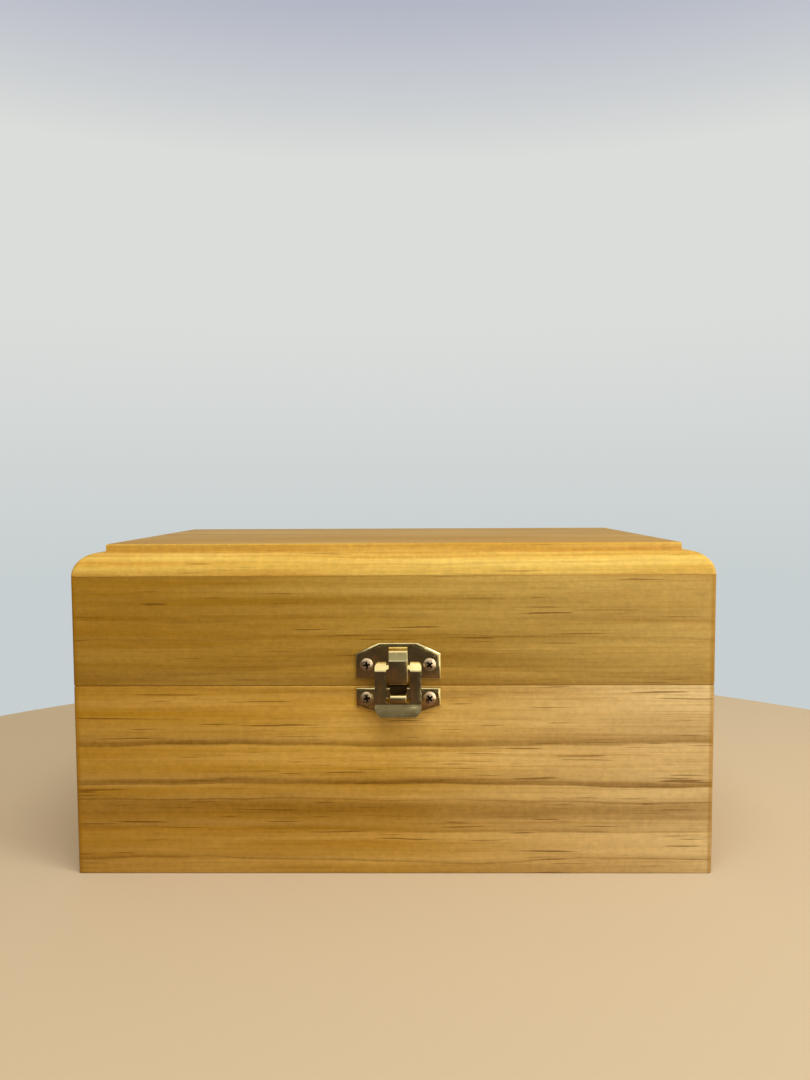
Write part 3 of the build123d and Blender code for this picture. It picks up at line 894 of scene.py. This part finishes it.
class OILBOX_OT_screws(bpy.types.Operator):
    """Makes the cross-head screws of the latch and the hinges."""

    bl_idname = "oilbox.screws"
    bl_label = "Screws"

    def execute(self, context):
        """Makes the screws in their groups."""
        for node in SCREW_GROUPS:
            radius, height, shank, length = (size * MM for size in SCREWS[node.split("_")[0]])
            model = screw_model(radius, height, shank, length)
            model.data.materials.append(screw_plate())
            model.data.materials.append(shaded_recess_metal())
            low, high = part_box(node)
            z = (low.z + high.z) / 2
            left = low.x + radius
            right = high.x - radius
            if node.startswith("latch"):
                outward = -1
                face = low.y + height
                places = [left, right]
            else:
                outward = 1
                face = high.y - height
                places = [left, left + HINGE_SCREW_SPAN, right - HINGE_SCREW_SPAN, right]
            stand = Matrix.Rotation(-outward * pi / 2, 4, "X")
            copies = []
            for x, degrees in zip(places, SCREW_TURNS):
                begin()
                one = model.copy()
                one.data = model.data.copy()
                context.scene.collection.objects.link(one)
                turn = Matrix.Rotation(radians(degrees), 4, "Z")
                one.matrix_world = Matrix.Translation((x, face, z)) @ stand @ turn
                choose(one)
                bpy.ops.object.transform_apply(location=True, rotation=True, scale=True)
                copies.append(one)
            bpy.data.objects.remove(model)
            choose(copies[0])
            for one in copies:
                one.select_set(True)
            bpy.ops.object.join()
            group = context.active_object
            group.name = f"{node}_cross_head"
            group.data.name = group.name
            bpy.ops.object.mode_set(mode="EDIT")
            rim = settings().screw.rim_share

            def down_in_recess(part):
                """True for a face inside a cross: under the dome and well inside the head's rim."""
                middle = part.calc_center_median()
                near = min(Vector((middle.x - x, middle.z - z)).length for x in places) / radius
                up = (middle.y - face) * outward
                dome = rim + (1 - rim) * (1 - near * near) ** 0.5 if near < 0.8 else 0
                return TOUCHING < up < height * dome - 3 * TOUCHING

            give_material(group, 1, down_in_recess)
            finished(group, body_of(node), node, smooth=35)
        return {"FINISHED"}


class OILBOX_OT_hinges(bpy.types.Operator):
    """Makes the leaves and pins of the two stop hinges."""

    bl_idname = "oilbox.hinges"
    bl_label = "Hinges"

    def execute(self, context):
        """Makes the hinges."""
        for node in HINGE_PARTS:
            piece = merged_copy(node, f"{node}_pressed")
            ease(piece, settings().plating.leaf_edge, segments=3, sharpness=50)
            piece.data.materials.append(brass_plate())
            finished(piece, body_of(node), node, smooth=35)
        return {"FINISHED"}


def aimed(place, target):
    """The turn of a lamp at a place that points it at a target."""
    return (Vector(target) - Vector(place)).to_track_quat("-Z", "Y").to_euler()


def matt_paint(stage):
    """Matt paint, rolled on: a plain pale floor that mirrors nothing."""
    material, tree = new_material("matt painted floor")
    shader = {"Base Color": stage.floor, "Roughness": 0.9, "Specular IOR Level": 0.0}
    add(tree, "ShaderNodeOutputMaterial", {"Surface": add(tree, "ShaderNodeBsdfPrincipled", shader)})
    return material


def shaded_room_felt(stage):
    """Pressed wool felt, with mottles of about 70 mm: a painted dark reflection, darker towards the front as
    painted shade.
    """
    material, tree = new_material("brown mottled felt card")
    place = add(tree, "ShaderNodeTexCoord").outputs["Object"]
    mottles = add(tree, "ShaderNodeTexNoise", {"Vector": place, "Scale": 14.0, "Detail": 2.0})
    depth = add(tree, "ShaderNodeSeparateXYZ", {0: place}).outputs["Y"]
    # Painted shade: the card is darker towards the front, where the room is in shade
    darker = {"Value": depth, "From Min": -0.44, "From Max": -0.28, "To Min": -0.3, "To Max": -0.14}
    darker = add(tree, "ShaderNodeMapRange", darker)
    mottles = add(tree, "ShaderNodeMath", {0: mottles, 1: darker})
    mottles = add(tree, "ShaderNodeMapRange", {"Value": mottles, "From Min": 0.25, "From Max": 0.75})
    mottles = {0: mottles, 6: stage.reflected_shade_dark, 7: stage.reflected_shade_light}
    shader = {"Base Color": add(tree, "ShaderNodeMix", mottles, data_type="RGBA"), "Roughness": 0.9}
    add(tree, "ShaderNodeOutputMaterial", {"Surface": add(tree, "ShaderNodeBsdfPrincipled", shader)})
    return material


def glowing_paper(stage):
    """White paper that glows evenly, with no lamp behind it: a painted highlight for the plating to mirror."""
    material, tree = new_material("white paper card")
    shader = {"Base Color": stage.paper, "Emission Color": stage.paper_glow, "Emission Strength": 0.9}
    add(tree, "ShaderNodeOutputMaterial", {"Surface": add(tree, "ShaderNodeBsdfPrincipled", shader)})
    return material


def studio_room(stage):
    """A room with a bright ceiling, lighter at the right and dim at the camera's side.

    The camera sees a plain soft background in its place.
    """
    room = bpy.data.worlds.new("studio room")
    room.use_nodes = True
    tree = room.node_tree
    tree.nodes.clear()
    way = add(tree, "ShaderNodeTexCoord").outputs["Generated"]
    parts = add(tree, "ShaderNodeSeparateXYZ", {0: way}).outputs
    back = add(tree, "ShaderNodeMath", {0: parts["X"], 1: 0.8, 2: parts["Y"]}, operation="MULTIPLY_ADD")
    back = add(tree, "ShaderNodeMapRange", {"Value": back, "From Min": -0.9, "From Max": 0.6})
    walls = add(tree, "ShaderNodeMix", {0: back, 6: stage.room_dim, 7: stage.room_bright}, data_type="RGBA")
    high = add(tree, "ShaderNodeMapRange", {"Value": parts["Z"], "From Min": 0.02, "From Max": 0.95})
    shade = add(tree, "ShaderNodeMix", {0: high, 6: walls, 7: stage.ceiling}, data_type="RGBA")
    level = add(tree, "ShaderNodeMapRange", {"Value": parts["Z"], "From Min": -0.1, "From Max": 0.5})
    background = add(tree, "ShaderNodeValToRGB", {"Fac": level})
    stops = background.color_ramp.elements
    stops[0].color = stage.wall_low
    stops[1].color = stage.wall_high
    for place in (0.5, 0.78):
        stops.new(place).color = stage.wall
    seen = add(tree, "ShaderNodeLightPath").outputs["Is Camera Ray"]
    colour = add(tree, "ShaderNodeMix", {0: seen, 6: shade, 7: background}, data_type="RGBA")
    strength = add(tree, "ShaderNodeMapRange", {"Value": seen, "To Min": 0.92, "To Max": 1.0})
    light = add(tree, "ShaderNodeBackground", {"Color": colour, "Strength": strength})
    add(tree, "ShaderNodeOutputWorld", {"Surface": light})
    return room


class OILBOX_OT_stage(bpy.types.Operator):
    """Lays the floor and sets the lamps and the camera."""

    bl_idname = "oilbox.stage"
    bl_label = "Stage"

    def execute(self, context):
        """Builds the stage."""
        stage = settings().stage
        context.scene.world = studio_room(stage)
        begin()
        centre = (FLOOR_RIGHT, stage.floor_behind - stage.floor_length / 2, -FLOOR_DROP)
        bpy.ops.mesh.primitive_circle_add(vertices=128, radius=0.5, fill_type="NGON", location=centre)
        floor = context.active_object
        floor.scale = (stage.floor_width, stage.floor_length, 1)
        bpy.ops.object.transform_apply(location=True, rotation=True, scale=True)
        floor.name = "studio_floor"
        floor.data.materials.append(matt_paint(stage))

        # Two dark cards lie in front and at the left, and two white ones stand at the right and hang above.
        # As in a studio, they are there for the mirror of the plating, and only that sees them: the dark ones
        # are painted dark reflection in place of the shaded room, and the white ones glow as painted
        # highlights. Each has a place, a size, turns about Y and Z in degrees, and a surface
        felt = shaded_room_felt(stage)
        paper = glowing_paper(stage)
        cards = {
            "dark_card": ((-0.42, -0.87, 0.001), (1.1, 1.57), (0, 0), felt),
            "left_card": ((-0.56, 0.11, 0.001), (0.82, 0.39), (0, 0), felt),
            "white_card": ((0.2, -0.2, 0.08), (0.16, 0.55), (90, -25.65), paper),
            "ceiling_card": ((0, -0.5, 1.1), (1.6, 0.8), (0, 0), paper),
        }
        for name, (place, size, (lean, turn), look) in cards.items():
            begin()
            turns = (0, radians(lean), radians(turn))
            bpy.ops.mesh.primitive_plane_add(size=1, location=place, rotation=turns)
            card = context.active_object
            card.name = name
            card.scale = (*size, 1)
            bpy.ops.object.transform_apply(location=True, rotation=True, scale=True)
            card.data.materials.append(look)
            for ray in ("camera", "diffuse", "transmission", "volume_scatter", "shadow"):
                setattr(card, f"visible_{ray}", False)

        # Each lamp has a place, a size and a power, and says whether the box mirrors it
        lamps = {
            "key_lamp": ((0.05, -0.55, 1.3), (1.0, 0.6), stage.key_power, False),
            "side_lamp": ((0.72, -0.48, 0.5), (0.4, 0.6), stage.side_power, True),
            "window_lamp": ((-0.1, -2.2, 1.3), (2.6, 0.5), stage.window_power, True),
        }
        for name, (place, size, power, mirrored) in lamps.items():
            begin()
            bpy.ops.object.light_add(type="AREA", location=place, rotation=aimed(place, LAMP_TARGET))
            lamp = context.active_object
            lamp.name = name
            lamp.data.shape = "RECTANGLE"
            lamp.data.size, lamp.data.size_y = size
            lamp.data.energy = power
            lamp.visible_glossy = mirrored

        turn = Matrix.Identity(4)
        for axis, degrees in CAMERA_TURNS:
            turn = turn @ Matrix.Rotation(radians(degrees), 4, axis)
        bpy.ops.object.camera_add(location=CAMERA_PLACE, rotation=turn.to_euler())
        camera = context.active_object
        camera.name = "photo_camera"
        camera.data.lens = stage.lens
        camera.data.sensor_width = 36
        camera.data.clip_start = 0.01
        context.scene.camera = camera
        context.scene.view_settings.view_transform = "Standard"
        return {"FINISHED"}


class OILBOX_PT_panel(bpy.types.Panel):
    """Lists the makers of the box's pieces and its settings."""

    bl_idname = "OILBOX_PT_panel"
    bl_label = "Essential Oil Storage Box"
    bl_space_type = "VIEW_3D"
    bl_region_type = "UI"
    bl_category = "Oil Box"

    def draw(self, context):
        """Draws the buttons and the settings."""
        for operator in OPERATORS:
            self.layout.operator(operator.bl_idname)
        for group in (settings().pine, settings().plating, settings().screw, settings().stage):
            box = self.layout.box()
            for name in group.__annotations__:
                box.prop(group, name)


OPERATORS = [
    OILBOX_OT_walls,
    OILBOX_OT_top_board,
    OILBOX_OT_dividers,
    OILBOX_OT_latch,
    OILBOX_OT_screws,
    OILBOX_OT_hinges,
    OILBOX_OT_stage,
]
CLASSES = [PineFinish, PlatingFinish, ScrewSizes, StageSizes, OilBoxSettings, *OPERATORS, OILBOX_PT_panel]


def register():
    """Registers the settings, the operators and the panel."""
    for kind in CLASSES:
        bpy.utils.register_class(kind)
    bpy.types.Scene.oil_box = bpy.props.PointerProperty(type=OilBoxSettings)


def unregister():
    """Takes them away again."""
    del bpy.types.Scene.oil_box
    for kind in reversed(CLASSES):
        bpy.utils.unregister_class(kind)


def main():
    """Makes every piece in order."""
    register()
    bpy.ops.oilbox.walls()
    bpy.ops.oilbox.top_board()
    bpy.ops.oilbox.dividers()
    bpy.ops.oilbox.latch()
    bpy.ops.oilbox.screws()
    bpy.ops.oilbox.hinges()
    bpy.ops.oilbox.stage()


if __name__ == "__main__":
    main()
